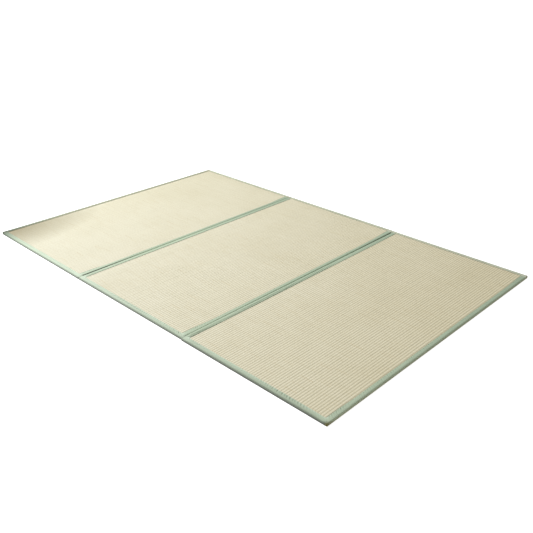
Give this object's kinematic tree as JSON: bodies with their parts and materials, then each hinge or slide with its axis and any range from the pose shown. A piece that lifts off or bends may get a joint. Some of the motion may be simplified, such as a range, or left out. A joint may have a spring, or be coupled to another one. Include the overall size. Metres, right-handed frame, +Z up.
{
  "type": "tatami mat",
  "caption": "Thin folding rush floor mat, opened flat: ribbed woven rush panels side by side, each bound in pale green cloth tape and joined by cloth hinge strips",
  "frame": {"origin": "on the floor under the middle of the opened mat", "axes": "+X along the long side, +Y along the short side, +Z up"},
  "size_m": [2.1, 1.403, 0.0128],
  "materials": {
    "rush": "dried woven rush with a dull natural sheen",
    "green_cloth": "matt woven cloth tape"
  },
  "bodies": {
    "root": {"rush_panel_1": "rush", "rush_panel_2": "rush", "rush_panel_3": "rush", "binding_1_front": "green_cloth", "binding_1_right": "green_cloth", "binding_1_back": "green_cloth", "binding_1_left": "green_cloth", "binding_2_front": "green_cloth", "binding_2_right": "green_cloth", "binding_2_back": "green_cloth", "binding_2_left": "green_cloth", "binding_3_front": "green_cloth", "binding_3_right": "green_cloth", "binding_3_back": "green_cloth", "binding_3_left": "green_cloth", "hinge_strip_1": "green_cloth", "hinge_strip_2": "green_cloth"}
  },
  "joints": []
}
